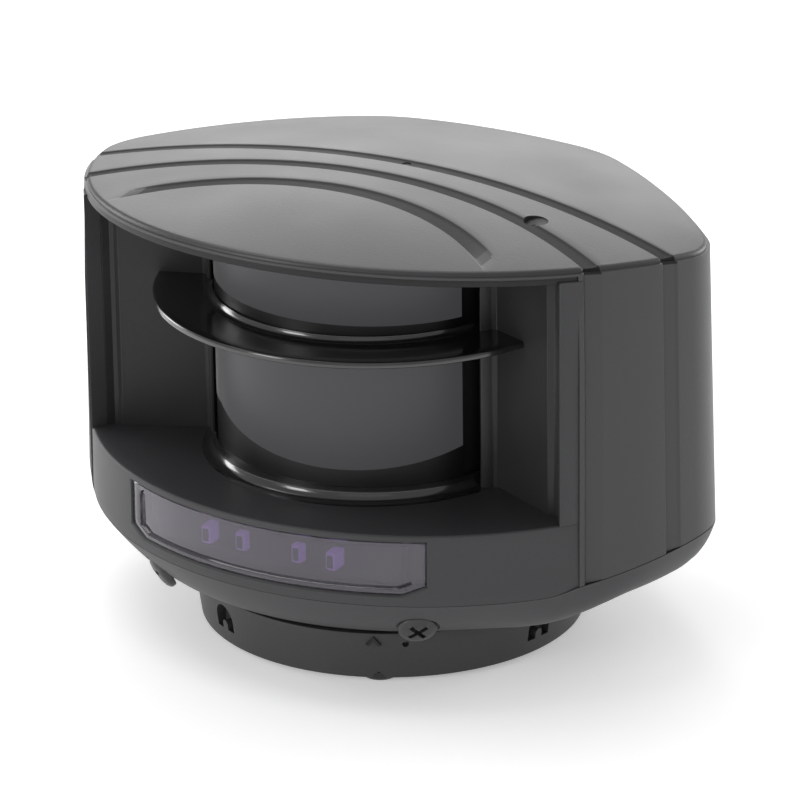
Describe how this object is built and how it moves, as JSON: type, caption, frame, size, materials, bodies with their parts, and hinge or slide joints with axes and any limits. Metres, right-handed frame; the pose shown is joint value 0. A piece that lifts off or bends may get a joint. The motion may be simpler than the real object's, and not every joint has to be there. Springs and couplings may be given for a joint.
{
  "type": "lidar scanner module",
  "caption": "Hooded wide-angle lidar scanner head with curved window panes and visor, spinning mirror, indicator window and round swivel and tilt bracket.",
  "frame": {"origin": "centre of the bracket's four wall-screw holes on its mounting face", "axes": "+Z away from the mounting face towards the hood's dome, -Y out of the scanning window, +X to the device's left-right width"},
  "size_m": [0.1256, 0.0906, 0.0852],
  "materials": {
    "black_plastic": "near-black moulding",
    "board": "green solder mask",
    "bracket": "fine grained charcoal moulding",
    "chassis": "as cast, bead blasted",
    "component": "black epoxy packages",
    "copper": "enamelled copper windings",
    "filter": "deep red interference filter",
    "foot": "hard nylon",
    "gold": "gold plated can",
    "hood": "satin charcoal moulding",
    "housing": "fine grained charcoal moulding",
    "indicator": "smoked violet window",
    "lamination": "stacked laminations",
    "led": "violet clear epoxy",
    "lens": "coated glass",
    "magnet": "bonded ferrite",
    "mask": "printed black",
    "mirror": "first-surface mirror",
    "ribbon": "grey ribbon",
    "screw": "black oxide",
    "seal": "soft black",
    "socket": "natural nylon",
    "steel": "ground",
    "window": "glossy infrared-pass pane",
    "zinc": "zinc plated"
  },
  "bodies": {
    "bracket": {"mounting_bracket": "bracket", "retaining_ring": "zinc"},
    "foot_f": {"foot_front": "foot"},
    "foot_r": {"foot_right": "foot"},
    "foot_b": {"foot_rear": "foot"},
    "foot_l": {"foot_left": "foot"},
    "swivel": {"swivel_plate": "bracket", "tilt_pins": "steel"},
    "head": {"bottom_housing": "housing", "front_bezel": "housing", "hood": "hood", "housing_seal": "seal", "visor": "black_plastic", "pane_lower": "window", "pane_upper": "window", "window_frame": "black_plastic", "window_mask": "mask", "indicator_window": "indicator", "indicator_board": "board", "indicator_leds": "led", "optical_chassis": "chassis", "lower_bearing": "steel", "upper_bearing": "steel", "stator_core": "lamination", "stator_coils": "copper", "motor_board": "board", "encoder_sensor": "component", "receiver_barrel": "black_plastic", "receiver_lens": "lens", "bandpass_filter": "filter", "photodiode": "zinc", "receiver_board": "board", "laser_holder": "chassis", "laser_diode": "gold", "collimator_lens": "lens", "main_board": "board", "power_board": "board", "board_components": "component", "interface_board": "board", "cable_socket": "socket", "ribbon_cable": "ribbon", "chassis_screws": "zinc"},
    "rotor": {"spindle": "steel", "rotor_cup": "lamination", "rotor_magnet": "magnet", "encoder_disc": "zinc", "mirror_hub": "black_plastic", "mirror_facets": "mirror", "separator_disc": "black_plastic"},
    "screw_l": {"tilt_screw_left": "screw"},
    "screw_r": {"tilt_screw_right": "screw"}
  },
  "joints": [
    {"name": "head_swivel", "type": "hinge", "parent": "bracket", "child": "swivel", "pos_m": [0, 0, 0.005], "axis": [0, 0, 1], "range_deg": [-20, 70]},
    {"name": "head_tilt", "type": "hinge", "parent": "swivel", "child": "head", "pos_m": [0, 0, 0.0086], "axis": [1, 0, 0], "range_deg": [-3, 3]},
    {"name": "rotor_spin", "type": "hinge", "parent": "head", "child": "rotor", "pos_m": [0, -0.0062, 0.05], "axis": [0, 0, 1], "continuous": true},
    {"name": "screw_turn_left", "type": "hinge", "parent": "head", "child": "screw_l", "pos_m": [-0.02705, -0.03723, 0.0133], "axis": [-0.509, -0.7006, -0.5], "range_deg": [-180, 180]},
    {"name": "screw_turn_right", "type": "hinge", "parent": "head", "child": "screw_r", "pos_m": [0.02705, -0.03723, 0.0133], "axis": [0.509, -0.7006, -0.5], "range_deg": [-180, 180]},
    {"name": "foot_front_level", "type": "slide", "parent": "bracket", "child": "foot_f", "axis": [0, 0, -1], "range_m": [-0.0004, 0.0015]},
    {"name": "foot_right_level", "type": "slide", "parent": "bracket", "child": "foot_r", "axis": [0, 0, -1], "range_m": [-0.0004, 0.0015]},
    {"name": "foot_rear_level", "type": "slide", "parent": "bracket", "child": "foot_b", "axis": [0, 0, -1], "range_m": [-0.0004, 0.0015]},
    {"name": "foot_left_level", "type": "slide", "parent": "bracket", "child": "foot_l", "axis": [0, 0, -1], "range_m": [-0.0004, 0.0015]}
  ]
}
